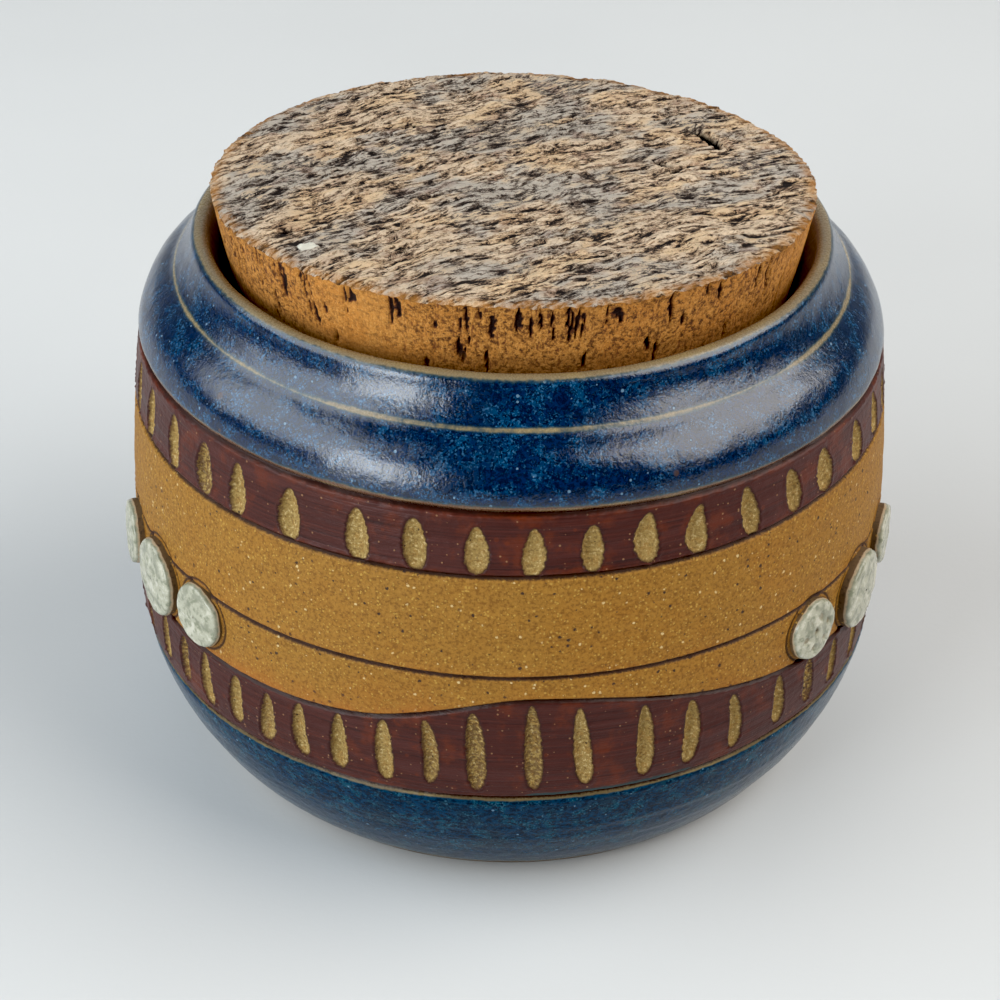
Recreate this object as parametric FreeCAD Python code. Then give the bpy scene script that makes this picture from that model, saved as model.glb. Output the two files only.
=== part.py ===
import FreeCAD, Part
import math
import os

# A wheel-thrown stoneware storage jar with a cork lid. The jar's axis is Z, it stands on Z = 0,
# and the field between two groups of clay discs faces -Y. All sizes are in millimetres.

# ---- heights and radii of the jar's outline, foot to rim ----
FOOT_R = 50.0
FOOT_BEVEL = 1.6          # bare bevelled edge under the glaze
FLARE_R, FLARE_Z = 60.9, 15.0
BELLY_R, BELLY_Z = 65.0, 35.0
WALL_R, WALL_Z = 64.3, 60.0
NECKLINE_R, NECKLINE_Z = 62.4, 78.6
SHOULDER_R, SHOULDER_Z = 60.4, 84.5
UNDER_RIDGE_R, UNDER_RIDGE_Z = 56.7, 88.3
RIDGE_R, RIDGE_Z = 56.1, 89.4
COLLAR_R, COLLAR_Z = 53.6, 92.2
CREST_OUT_R, CREST_OUT_Z = 52.9, 94.6
CREST_R, JAR_H = 51.5, 96.0
CREST_IN_R, CREST_IN_Z = 50.0, 94.9
THROAT_R, THROAT_Z = 47.0, 89.0

# ---- the cork ----
CORK_TOP_R = 49.3
CORK_TOP_Z = 104.1        # at the axis
CORK_TAPER = 11.0         # degrees from upright
CORK_DEPTH = 12.0         # how far the plug goes below the throat
CORK_SLOPE = 3.4          # degrees, the bark face stands higher at the front
CORK_CHAMFER = 1.0
CORK_CLEARANCE = 0.15

# ---- rings carved round the wall ----
RING_HALF_WIDTH = 0.55
RING_DEPTH = 0.55
UPPER_BAND_LOW_Z = 67.9
FIELD_LINE_Z = 50.0
LOWER_BAND_LOW_Z = 26.0

# ---- the lower band's wavy top: a hump at the middle of each field ----
FIELDS = 3
HUMP_AZ = 4.0
HUMP_BASE_Z = 38.2
HUMP_RISE = 7.4
HUMP_SPREAD = 17.0        # degrees

# ---- gouges, cut with a round-nosed loop tool ----
UPPER_GOUGES = 44
UPPER_GOUGE_AZ = 3.9
UPPER_GOUGE_MIDDLE = 72.6
UPPER_GOUGE_LENGTH = 8.2
UPPER_GOUGE_WIDTH = 3.6
UPPER_GOUGE_DEPTH = 1.0
LOWER_GOUGES = 51
LOWER_GOUGE_AZ = 4.4
LOWER_GOUGE_LOW_Z = 28.2
LOWER_GOUGE_TOP_GAP = 1.6  # from the gouge's top end to the wavy line
LOWER_GOUGE_WIDTH = 3.0
LOWER_GOUGE_DEPTH = 0.9

# ---- applied clay discs, in groups of three between the fields ----
DISC_THICKNESS = 2.3
DISC_EDGE = 0.5           # how much its side draws in
DISC_BITE = 2.0           # how far its cutter runs past the layer that it is cut from
DISCS = (                 # name, azimuth from the front towards +X, height of its centre, radius
    ("disc_right_1", 49.7, 44.6, 5.2),
    ("disc_right_2", 63.4, 43.8, 6.6),
    ("disc_right_3", 75.4, 46.2, 5.1),
    ("disc_back_1", 167.4, 45.2, 5.3),
    ("disc_back_2", 180.0, 44.2, 6.5),
    ("disc_back_3", 192.8, 45.4, 5.2),
    ("disc_left_1", -49.2, 45.1, 5.4),
    ("disc_left_2", -61.5, 44.6, 6.5),
    ("disc_left_3", -74.0, 44.8, 5.4),
)
AXIS = FreeCAD.Vector(0, 0, 1)
CARVING_TURNS = (2.0, -3.0, 5.0, 8.0)   # the cutters are tried at these turns, in degrees


def point(radius, height):
    return FreeCAD.Vector(radius, 0, height)


def arc(start, middle, end):
    return Part.Arc(point(*start), point(*middle), point(*end)).toShape()


def line(start, end):
    return Part.LineSegment(point(*start), point(*end)).toShape()


def revolve(edges):
    face = Part.Face(Part.Wire(edges))
    return face.revolve(FreeCAD.Vector(0, 0, 0), AXIS, 360)


def turned(shape, azimuth):
    """A shape built along +X, turned to an azimuth counted from the front (-Y) towards +X."""
    out = shape.copy()
    out.rotate(FreeCAD.Vector(0, 0, 0), AXIS, azimuth - 90)
    return out


def arc_radius(start, middle, end, height):
    """Radius of the jar at a height on the arc through three (radius, height) points."""
    ax, ay = start
    bx, by = middle
    cx, cy = end
    d = 2 * (ax * (by - cy) + bx * (cy - ay) + cx * (ay - by))
    a2, b2, c2 = ax * ax + ay * ay, bx * bx + by * by, cx * cx + cy * cy
    ux = (a2 * (by - cy) + b2 * (cy - ay) + c2 * (ay - by)) / d
    uy = (a2 * (cx - bx) + b2 * (ax - cx) + c2 * (bx - ax)) / d
    size = math.hypot(ax - ux, ay - uy)
    return ux + math.sqrt(size * size - (height - uy) ** 2)


FOOT_START = (FOOT_R + FOOT_BEVEL, FOOT_BEVEL)
LOWER_ARC = (FOOT_START, (FLARE_R, FLARE_Z), (BELLY_R, BELLY_Z))
UPPER_ARC = ((BELLY_R, BELLY_Z), (WALL_R, WALL_Z), (NECKLINE_R, NECKLINE_Z))


def wall_radius(height):
    return arc_radius(*(LOWER_ARC if height < BELLY_Z else UPPER_ARC), height)


def wall_lean(height):
    """Degrees by which the wall leans inwards at a height."""
    return math.degrees(math.atan2(wall_radius(height - 0.5) - wall_radius(height + 0.5), 1.0))


def jar_outline():
    """Closed half outline of the jar as a solid, up to the floor of the funnel in the mouth."""
    return [line((0, 0), (FOOT_R, 0)),
            line((FOOT_R, 0), FOOT_START),
            arc(*LOWER_ARC),
            arc(*UPPER_ARC),
            arc((NECKLINE_R, NECKLINE_Z), (SHOULDER_R, SHOULDER_Z), (UNDER_RIDGE_R, UNDER_RIDGE_Z)),
            line((UNDER_RIDGE_R, UNDER_RIDGE_Z), (RIDGE_R, RIDGE_Z)),
            arc((RIDGE_R, RIDGE_Z), (COLLAR_R, COLLAR_Z), (CREST_OUT_R, CREST_OUT_Z)),
            arc((CREST_OUT_R, CREST_OUT_Z), (CREST_R, JAR_H), (CREST_IN_R, CREST_IN_Z)),
            line((CREST_IN_R, CREST_IN_Z), (THROAT_R, THROAT_Z)),
            line((THROAT_R, THROAT_Z), (0, THROAT_Z)),
            line((0, THROAT_Z), (0, 0))]


def cork_radius(height):
    return CORK_TOP_R - (CORK_TOP_Z - height) * math.tan(math.radians(CORK_TAPER))


def cork_cone(bottom, top, grow):
    return Part.makeCone(cork_radius(bottom) + grow, cork_radius(top) + grow, top - bottom,
                         FreeCAD.Vector(0, 0, bottom), AXIS)


def ring_cut(height):
    """A V-shaped groove round the wall."""
    radius = wall_radius(height)
    lean = math.tan(math.radians(wall_lean(height))) * RING_HALF_WIDTH
    over = 0.2
    low = (radius + lean, height - RING_HALF_WIDTH)
    high = (radius - lean, height + RING_HALF_WIDTH)
    tip = (radius - RING_DEPTH, height)
    outer_low = (low[0] + over, low[1])
    outer_high = (high[0] + over, high[1])
    return revolve([line(tip, low), line(low, outer_low), line(outer_low, outer_high),
                    line(outer_high, high), line(high, tip)])


def hump(azimuth):
    """Height of the lower band's top line at an azimuth."""
    step = 360.0 / FIELDS
    away = (azimuth - HUMP_AZ + step / 2) % step - step / 2
    return HUMP_BASE_Z + HUMP_RISE * math.exp(-(away / HUMP_SPREAD) ** 2)


def gouge_cutter(width, depth, low, high):
    """A barrel, bulging in an arc, whose side dips into the wall by the gouge's depth."""
    half_width = width / 2
    half_length = (high - low) / 2
    middle = (high + low) / 2
    belly = (half_width ** 2 + depth ** 2) / (2 * depth)
    standoff = belly - depth
    bulge = (half_length ** 2 + depth ** 2) / (2 * depth)
    end = half_length * 1.05
    end_radius = belly - (bulge - math.sqrt(bulge ** 2 - end ** 2))
    barrel = revolve([line((0, -end), (end_radius, -end)),
                      arc((end_radius, -end), (belly, 0), (end_radius, end)),
                      line((end_radius, end), (0, end)),
                      line((0, end), (0, -end))])
    barrel.rotate(FreeCAD.Vector(0, 0, 0), FreeCAD.Vector(0, 1, 0), -wall_lean(middle))
    # the wall bulges between the gouge's ends, so the chord's middle is what the barrel follows
    chord = (wall_radius(low) + wall_radius(high)) / 2
    seat = (wall_radius(middle) + chord) / 2
    barrel.translate(point(seat + standoff, middle))
    return barrel


def gouge_cutters():
    out = []
    half = UPPER_GOUGE_LENGTH / 2
    for i in range(UPPER_GOUGES):
        cutter = gouge_cutter(UPPER_GOUGE_WIDTH, UPPER_GOUGE_DEPTH,
                              UPPER_GOUGE_MIDDLE - half, UPPER_GOUGE_MIDDLE + half)
        out.append(turned(cutter, UPPER_GOUGE_AZ + i * 360.0 / UPPER_GOUGES))
    for i in range(LOWER_GOUGES):
        azimuth = LOWER_GOUGE_AZ + i * 360.0 / LOWER_GOUGES
        cutter = gouge_cutter(LOWER_GOUGE_WIDTH, LOWER_GOUGE_DEPTH,
                              LOWER_GOUGE_LOW_Z, hump(azimuth) - LOWER_GOUGE_TOP_GAP)
        out.append(turned(cutter, azimuth))
    return out


def carved(body, cutters):
    """The body less the cutters. The body is round, so both patterns may be cut at another turn
    and the result turned back, where a cutter at its own azimuth defeats the solid modeller."""
    for turn in CARVING_TURNS:
        tools = [cutter.copy() for cutter in cutters]
        for tool in tools:
            tool.rotate(FreeCAD.Vector(0, 0, 0), AXIS, turn)
        out = body.cut(tools)
        if out.isValid() and len(out.Solids) == 1 and out.Volume < body.Volume:
            out.rotate(FreeCAD.Vector(0, 0, 0), AXIS, -turn)
            return out
    raise RuntimeError("no turn gives one carved solid")


def make_cork():
    bottom = THROAT_Z - CORK_DEPTH
    reach = 2 * CORK_TOP_R * math.tan(math.radians(CORK_SLOPE))
    cork = cork_cone(bottom, CORK_TOP_Z + reach, 0)
    knife = Part.makeBox(4 * CORK_TOP_R, 4 * CORK_TOP_R, CORK_TOP_Z,
                         FreeCAD.Vector(-2 * CORK_TOP_R, -2 * CORK_TOP_R, 0))
    knife.rotate(FreeCAD.Vector(0, 0, 0), FreeCAD.Vector(1, 0, 0), -CORK_SLOPE)
    knife.translate(FreeCAD.Vector(0, 0, CORK_TOP_Z))
    cork = cork.cut(knife)
    rim = [edge for edge in cork.Edges if edge.BoundBox.ZMax < bottom + 0.01
           and edge.Length > cork_radius(bottom)]
    return cork.makeChamfer(CORK_CHAMFER, rim)


def make_jar():
    body = revolve(jar_outline())
    pocket_floor = THROAT_Z - CORK_DEPTH
    pocket = cork_cone(pocket_floor, JAR_H, CORK_CLEARANCE)
    cuts = [pocket] + [ring_cut(z) for z in (NECKLINE_Z - RING_HALF_WIDTH, UPPER_BAND_LOW_Z,
                                             FIELD_LINE_Z, LOWER_BAND_LOW_Z)]
    return carved(body.cut(cuts), gouge_cutters())


def disc_blanket():
    """The layer that lies on the wall where the discs are, as thick as a disc."""
    low = min(height - radius for _, _, height, radius in DISCS) - DISC_BITE
    high = max(height + radius for _, _, height, radius in DISCS) + DISC_BITE
    middle = (low + high) / 2
    inner = revolve([arc(*LOWER_ARC), arc(*UPPER_ARC),
                     line((NECKLINE_R, NECKLINE_Z), (0, NECKLINE_Z)),
                     line((0, NECKLINE_Z), (0, FOOT_BEVEL)), line((0, FOOT_BEVEL), FOOT_START)])
    skin = [(wall_radius(z) + DISC_THICKNESS, z) for z in (low, middle, high)]
    outer = revolve([line((0, low), skin[0]), arc(*skin), line(skin[2], (0, high)),
                     line((0, high), (0, low))])
    return outer.cut(inner)


def make_disc(blanket, azimuth, height, radius):
    """A pad whose side draws in a little from the wall to its face."""
    foot = wall_radius(height)
    draw = DISC_EDGE / DISC_THICKNESS
    start = foot - DISC_BITE
    end = foot + DISC_THICKNESS + DISC_BITE
    pin = Part.makeCone(radius + draw * (foot - start), radius - draw * (end - foot), end - start,
                        FreeCAD.Vector(start, 0, height), FreeCAD.Vector(1, 0, 0))
    return turned(blanket.common(pin).Solids[0], azimuth)


def export(shape, name):
    solids = shape.Solids
    assert len(solids) == 1 and solids[0].isValid(), name
    solids[0].exportStep(os.path.join("parts", name + ".step"))
    print(name, "volume", round(solids[0].Volume), "area", round(solids[0].Area))


os.makedirs("parts", exist_ok=True)
export(make_jar(), "jar")
export(make_cork(), "cork_lid")
blanket = disc_blanket()
for name, azimuth, height, radius in DISCS:
    export(make_disc(blanket, azimuth, height, radius), name)
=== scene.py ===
import math

import bpy
import numpy as np
from mathutils import Matrix, Vector


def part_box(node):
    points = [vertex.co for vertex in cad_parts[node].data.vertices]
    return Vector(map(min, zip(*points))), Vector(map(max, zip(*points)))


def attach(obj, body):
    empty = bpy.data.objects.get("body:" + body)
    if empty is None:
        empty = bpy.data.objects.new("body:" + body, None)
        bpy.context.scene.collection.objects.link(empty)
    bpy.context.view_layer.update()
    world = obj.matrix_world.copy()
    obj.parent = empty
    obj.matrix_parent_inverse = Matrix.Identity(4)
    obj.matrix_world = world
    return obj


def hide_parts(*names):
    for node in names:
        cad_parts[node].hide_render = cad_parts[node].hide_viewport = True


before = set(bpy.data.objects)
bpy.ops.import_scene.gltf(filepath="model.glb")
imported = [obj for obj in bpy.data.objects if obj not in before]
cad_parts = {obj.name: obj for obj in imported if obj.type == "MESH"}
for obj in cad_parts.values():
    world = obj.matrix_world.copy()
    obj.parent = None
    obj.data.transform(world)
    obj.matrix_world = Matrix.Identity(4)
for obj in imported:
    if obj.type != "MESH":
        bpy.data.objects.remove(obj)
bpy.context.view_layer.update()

# Looks of a stoneware jar with a cork lid. Sizes are in millimetres, azimuths in degrees from the
# front (-Y) towards +X, heights from the surface that the jar stands on.

MM = 0.001
COLUMNS = 1280                 # vertices round the jar
STEP = 0.1                     # mm between the points of a resampled outline
ROWS = {                       # vertices up each skin of the jar, and across its foot's flat
    "rim_glaze": 74, "upper_band": 56, "upper_field": 50, "lower_field": 34, "lower_band": 68,
    "base_glaze": 53, "foot": 40,
}

# ---- outline of the jar, within a millimetre of the CAD model's: (radius, height) ----
FOOT = (50.0, 0.0)
FOOT_BEVEL = (50.8, 0.75)
FOOT_TOP = (51.6, 1.6)
FLARE = (60.9, 15.0)
BELLY = (65.0, 35.0)
WALL = (64.3, 60.0)
NECKLINE = (62.3, 79.2)
SHOULDER = (60.4, 84.7)
UNDER_RIDGE = (56.7, 88.3)
RIDGE = (55.9, 89.15)
COLLAR = (54.0, 92.0)
CREST_OUT = (52.9, 94.6)
CREST = (51.5, 96.0)
CREST_IN = (50.0, 94.9)
THROAT = (47.0, 89.0)
GAP_FLOOR = (46.6, 86.5)

# ---- the cork ----
CORK_TOP_R = 49.3
CORK_TOP_Z = 104.1
CORK_TAPER = math.tan(math.radians(11.0))
CORK_SLOPE = math.tan(math.radians(3.4))
CORK_LOW_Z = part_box("cork_lid")[0][2] / MM
CORK_CELLS = 250               # squares across the bark face
CORK_ROWS = 36                 # vertices down the finely divided part of the side
CORK_FINE = 20.0               # depth of that part, of the CORK_DEEP from the edge to the end
CORK_DEEP = 24.0

# ---- carved lines ----
NECK_Z = NECKLINE[1] - 0.6
UPPER_LOW_Z = 67.9
FIELD_Z = 50.0
LOWER_LOW_Z = 25.9
HUMP_AZ = 5.0
HUMP_BASE_Z = 38.2
HUMP_RISE = 7.5
HUMP_LEFT = 19.5
HUMP_RIGHT = 28.0
FIELDS = 3

# ---- gouges ----
# Azimuths of the cuts in the front half, as the potter happened to space them.
UPPER_GOUGES = 44
UPPER_FRONT = (-66.7, -57.3, -48.7, -41.4, -31.6, -20.8, -12.5, -4.0,
               3.8, 12.0, 20.0, 27.9, 36.2, 44.6, 52.2, 62.2)
LOWER_GOUGES = 51
LOWER_FRONT = (-61.5, -54.8, -48.7, -42.1, -36.1, -29.7, -23.6, -16.6, -10.5,
               -3.8, 4.3, 11.3, 20.2, 27.3, 34.8, 43.6, 50.5)

# ---- clay discs: node, azimuth, height of the centre, radius ----
DISCS = (
    ("disc_right_1", 49.7, 44.6, 5.2),
    ("disc_right_2", 63.4, 43.8, 6.6),
    ("disc_right_3", 75.4, 46.2, 5.1),
    ("disc_back_1", 167.4, 45.2, 5.3),
    ("disc_back_2", 180.0, 44.2, 6.5),
    ("disc_back_3", 192.8, 45.4, 5.2),
    ("disc_left_1", -49.2, 45.1, 5.4),
    ("disc_left_2", -61.5, 44.6, 6.5),
    ("disc_left_3", -74.0, 44.8, 5.4),
)
DISC_THICKNESS = 2.3
DISC_PRESSED = 0.58            # share of it that is left on the first disc of a group
DISC_PROUD = 0.80              # and on the others
DISC_RING = 0.75               # how far from its edge the wall is pressed in round it
DISC_COLUMNS, FACE_ROWS, EDGE_ROWS, SIDE_ROWS = 96, 26, 8, 7


# ================ numbers and noise ================

class Noise:
    """Seeded gradient noise in three dimensions, for arrays of points."""

    def __init__(self, seed):
        rng = np.random.default_rng(seed)
        self.order = np.tile(rng.permutation(256), 3)
        slopes = rng.normal(size=(256, 3))
        self.slopes = slopes / np.linalg.norm(slopes, axis=1, keepdims=True)

    def __call__(self, x, y, z=0.0):
        x, y, z = np.broadcast_arrays(np.asarray(x, float), np.asarray(y, float), np.asarray(z, float))
        cells = [np.floor(a).astype(int) for a in (x, y, z)]
        inside = [a - c for a, c in zip((x, y, z), cells)]
        fades = [t * t * t * (t * (t * 6 - 15) + 10) for t in inside]
        cells = [c & 255 for c in cells]
        total = 0.0
        for i in (0, 1):
            for j in (0, 1):
                for k in (0, 1):
                    spot = self.order[self.order[self.order[cells[0] + i] + cells[1] + j]
                                      + cells[2] + k]
                    slope = self.slopes[spot]
                    value = (slope[..., 0] * (inside[0] - i) + slope[..., 1] * (inside[1] - j)
                             + slope[..., 2] * (inside[2] - k))
                    weight = 1.0
                    for side, fade in zip((i, j, k), fades):
                        weight = weight * (fade if side else 1 - fade)
                    total = total + weight * value
        return total * 1.6

    def layered(self, x, y, z):
        """The noise with a finer copy of half its strength on top."""
        return self(x, y, z) + 0.5 * self(x * 2.03 + 17.3, y * 2.03, z * 2.03)


def smooth(low, high, x):
    t = np.clip((x - low) / (high - low), 0, 1)
    return t * t * (3 - 2 * t)


def bell(x, width):
    return np.exp(-(x / width) ** 2)


def wrap(azimuth):
    return (azimuth + 180.0) % 360.0 - 180.0


def plan(azimuth, radius):
    """Offsets to the right and to the front of points round the jar, as x and -y."""
    return radius * np.sin(np.radians(azimuth)), radius * np.cos(np.radians(azimuth))


def arc_points(start, middle, end, count):
    """Points on the circular arc through three (radius, height) points."""
    (ax, ay), (bx, by), (cx, cy) = start, middle, end
    d = 2 * (ax * (by - cy) + bx * (cy - ay) + cx * (ay - by))
    a2, b2, c2 = ax * ax + ay * ay, bx * bx + by * by, cx * cx + cy * cy
    ux = (a2 * (by - cy) + b2 * (cy - ay) + c2 * (ay - by)) / d
    uy = (a2 * (cx - bx) + b2 * (ax - cx) + c2 * (bx - ax)) / d
    angles = np.unwrap([math.atan2(y - uy, x - ux) for x, y in (start, middle, end)])
    along = np.linspace(angles[0], angles[2], count)
    size = math.hypot(ax - ux, ay - uy)
    return np.stack([ux + size * np.cos(along), uy + size * np.sin(along)], 1)


def run(points, step=STEP, soften=0.0):
    """A (radius, height) line resampled at an even step, its corners rounded by soften mm."""
    points = np.asarray(points, float)
    length = np.concatenate([[0], np.cumsum(np.linalg.norm(np.diff(points, axis=0), axis=1))])
    along = np.arange(0, length[-1], step)
    line = np.stack([np.interp(along, length, points[:, i]) for i in (0, 1)], 1)
    if soften:
        reach = int(3 * soften / step)
        weight = np.exp(-0.5 * (np.arange(-reach, reach + 1) * step / soften) ** 2)
        weight /= weight.sum()
        padded = np.concatenate([2 * line[0] - line[reach:0:-1], line,
                                 2 * line[-1] - line[-2:-reach - 2:-1]])
        line = np.stack([np.convolve(padded[:, i], weight, "valid") for i in (0, 1)], 1)
    return line


wall_line = np.concatenate([arc_points(FOOT_TOP, FLARE, BELLY, 60),
                            arc_points(BELLY, WALL, NECKLINE, 80)[1:]])


def wall_radius(height):
    return np.interp(height, wall_line[:, 1], wall_line[:, 0])


def wall_slope(height):
    """Radius gained per millimetre of height."""
    return (wall_radius(height + 0.4) - wall_radius(height - 0.4)) / 0.8


# ================ meshes ================

def attribute(mesh, name, values):
    layer = mesh.attributes.new(name, "FLOAT", "POINT")
    layer.data.foreach_set("value", np.ascontiguousarray(values, dtype=np.float32).ravel())


def surface(name, points, faces, material, values=None):
    """A smooth mesh from points in millimetres and an array of quads."""
    mesh = bpy.data.meshes.new(name)
    mesh.vertices.add(len(points))
    mesh.vertices.foreach_set("co", (points * MM).astype(np.float32).ravel())
    mesh.loops.add(faces.size)
    mesh.loops.foreach_set("vertex_index", faces.astype(np.int32).ravel())
    mesh.polygons.add(len(faces))
    mesh.polygons.foreach_set("loop_start", np.arange(0, faces.size, 4, dtype=np.int32))
    mesh.polygons.foreach_set("loop_total", np.full(len(faces), 4, dtype=np.int32))
    mesh.polygons.foreach_set("use_smooth", np.ones(len(faces), dtype=bool))
    mesh.update()
    mesh.validate()
    for key, data in (values or {}).items():
        attribute(mesh, key, data)
    mesh.materials.append(material)
    piece = bpy.data.objects.new(name, mesh)
    bpy.context.scene.collection.objects.link(piece)
    return piece


def band_faces(rows, columns):
    """Quads of a band that closes on itself, rows outward or upward."""
    r, c = np.meshgrid(np.arange(rows - 1), np.arange(columns), indexing="ij")
    after = (c + 1) % columns
    return np.stack([r * columns + c, r * columns + after,
                     (r + 1) * columns + after, (r + 1) * columns + c], -1).reshape(-1, 4)


def band(name, azimuth, radius, height, material, values=None):
    """A closed band from arrays [row, column] of azimuth, radius and height."""
    x, y = plan(azimuth, radius)
    points = np.stack([x, -y, height], -1)
    return surface(name, points.reshape(-1, 3), band_faces(*height.shape), material,
                   {k: v.ravel() for k, v in (values or {}).items()})


def spread_rows(count, fine_low, fine_high, fine=7, share=0.01):
    """Row places from 0 to 1, with some fine rows at each end where a line is carved."""
    low = np.linspace(0, share * fine, fine, endpoint=False)
    high = 1 - low[::-1]
    middle = np.linspace(share * fine if fine_low else 0.0, 1 - share * fine if fine_high else 1.0,
                         count - fine * (fine_low + fine_high))
    return np.concatenate([low[:fine * fine_low], middle, high[:fine * fine_high]])


# ================ carving ================

hand = Noise(3)                # the potter's unevenness
grain = Noise(5)               # coarse clay
chatter = Noise(8)             # torn edges


def around(azimuth, size, height=0.0, noise=hand):
    """Noise that closes round the jar. size is the number of radians in one cell."""
    a = np.radians(azimuth)
    return noise(np.sin(a) / size + 9.1, np.cos(a) / size, height)


def carved(level, tilt, turn, wander, size, seed):
    """A line carved round the turning jar: nearly level, a little tilted and unsteady."""
    def line(azimuth):
        return level + tilt * np.sin(np.radians(azimuth) - turn) + wander * around(azimuth, size, seed)
    return line


neck_line = carved(NECK_Z, -0.40, 0.0, 0.12, 0.40, 0.0)
upper_low_line = carved(UPPER_LOW_Z, 0.35, 0.0, 0.15, 0.35, 4.0)
field_line = carved(FIELD_Z, 0.0, 0.0, 0.18, 0.40, 8.0)
lower_low_line = carved(LOWER_LOW_Z, 0.9, 0.2, 0.15, 0.40, 16.0)


def hump_line(azimuth):
    """The wavy top of the lower band: one hump in each field, steeper on its left."""
    step = 360.0 / FIELDS
    away = (azimuth - HUMP_AZ + step / 2) % step - step / 2
    spread = np.where(away < 0, HUMP_LEFT, HUMP_RIGHT)
    return HUMP_BASE_Z + HUMP_RISE * bell(away, spread) + 0.20 * around(azimuth, 0.25, 12.0)


THROWING = (                   # unevenness of the thrown wall: depth, cell across, cell up
    (0.10, 30, 4),
    (0.05, 60, 1),
)
LINES = (                      # line, half width, depth, burr, seed
    (neck_line, 0.42, 0.75, 0.16, 31.0),
    (upper_low_line, 0.36, 0.60, 0.16, 37.0),
    (field_line, 0.30, 0.50, 0.10, 43.0),
    (hump_line, 0.30, 0.50, 0.10, 49.0),
    (lower_low_line, 0.36, 0.60, 0.10, 55.0),
)


def groove(away, azimuth, width, depth, burr, seed):
    """Height of a line carved with a point: a V with a torn burr along both sides."""
    push = 1 + 0.35 * around(azimuth, 0.12, seed)
    torn = np.clip(0.55 + around(azimuth, 0.02, seed + 3, chatter), 0, 1.3)
    cut = -depth * push * np.exp(-(np.abs(away) / width) ** 1.6)
    lip = burr * torn * bell(np.abs(away) - 1.9 * width, 0.7 * width)
    return cut + lip


class Gouges:
    """A row of cuts made with a small loop tool. All arrays are by gouge."""

    def __init__(self, count, front, seed, width, depth, uneven, tip, toe):
        rng = np.random.default_rng(seed)
        behind = np.linspace(front[-1], front[0] + 360.0, count - len(front) + 2)[1:-1]
        behind = behind + rng.uniform(-uneven, uneven, len(behind))
        self.azimuth = np.concatenate([front, behind])
        self.between = (self.azimuth + np.roll(self.azimuth, -1)) / 2
        self.between[-1] = (self.azimuth[-1] + front[0] + 360.0) / 2
        self.width = width * rng.uniform(0.86, 1.12, count)
        self.depth = depth * rng.uniform(0.8, 1.15, count)
        self.tilt = rng.normal(-0.03, 0.05, count)
        self.up = rng.uniform(-0.45, 0.45, count)
        self.down = rng.uniform(-0.45, 0.45, count)
        self.fat = rng.uniform(-0.35, 0.25, count)
        self.ribs = rng.uniform(0, 1, count) ** 6
        self.bow = rng.normal(0.0, 0.32, count)
        self.skim = np.where(rng.uniform(0, 1, count) < 0.12, rng.uniform(0.3, 0.8, count), 0.0)
        self.tip, self.toe = tip, toe

    def cut(self, azimuth, height, low, high):
        """Relief, distance from the nearest gouge's edge (negative inside) and its skim of slip."""
        start = self.between[-1] - 360.0
        i = np.searchsorted(self.between, (azimuth - start) % 360.0 + start)
        top, bottom = high(self.azimuth)[i] + self.up[i], low(self.azimuth)[i] + self.down[i]
        middle, half = (top + bottom) / 2, (top - bottom) / 2
        v = (height - middle) / half
        across = np.radians(wrap(azimuth - self.azimuth[i])) * wall_radius(height)
        across = across - self.tilt[i] * (height - middle) + self.bow[i] * (1 - v ** 2)
        torn = chatter.layered(across * 1.6 + i * 3.7, height * 1.3, 5.0)
        half_width = self.width[i] / 2 * (1 + (self.fat[i] * 0.5 - 0.14) * v) * (1 + 0.16 * torn)
        u = across / half_width
        power = np.where(v > 0, self.tip, self.toe)
        q = np.sqrt(u ** 2 + np.abs(v) ** power + 1e-9)
        end = power / 2 * np.abs(v) ** (power - 1) / half
        gradient = np.sqrt((u / half_width) ** 2 + end ** 2) / q
        away = (q - 1) / np.maximum(gradient, 0.12)
        inside = np.clip(1 - q ** 2, 0, 1)
        lean = 1 - 0.35 * np.clip(u, -1, 1)
        floor = self.depth[i] * lean * inside ** 0.6
        floor = floor * (1 + 0.12 * chatter.layered(across * 1.3, height * 0.9, 11.0 + i))
        floor = floor + inside * self.ribs[i] * 0.25 * np.sin(height * 7.0)
        crumbs = np.clip(chatter(across * 1.5, height * 1.5, 20.0 + i), 0, 1)
        low_end = smooth(0.3, 1.0, -v)
        lip = bell(away - 0.25, 0.28) * (0.05 + (0.14 + 0.3 * low_end) * crumbs)
        return lip - floor, away, self.skim[i]


upper_gouges = Gouges(UPPER_GOUGES, UPPER_FRONT, 21, 3.9, 1.0, 0.9, 1.5, 2.4)
lower_gouges = Gouges(LOWER_GOUGES, LOWER_FRONT, 33, 2.8, 0.9, 0.8, 2.2, 3.6)


def disc_edge(azimuth, height):
    """Distance from the edge of the nearest clay disc, along the wall."""
    nearest = np.full(np.shape(height), 9.0)
    for _, at, middle, radius in DISCS:
        across = np.radians(wrap(azimuth - at)) * wall_radius(middle)
        nearest = np.minimum(nearest, np.hypot(across, height - middle) - radius)
    return nearest


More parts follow.
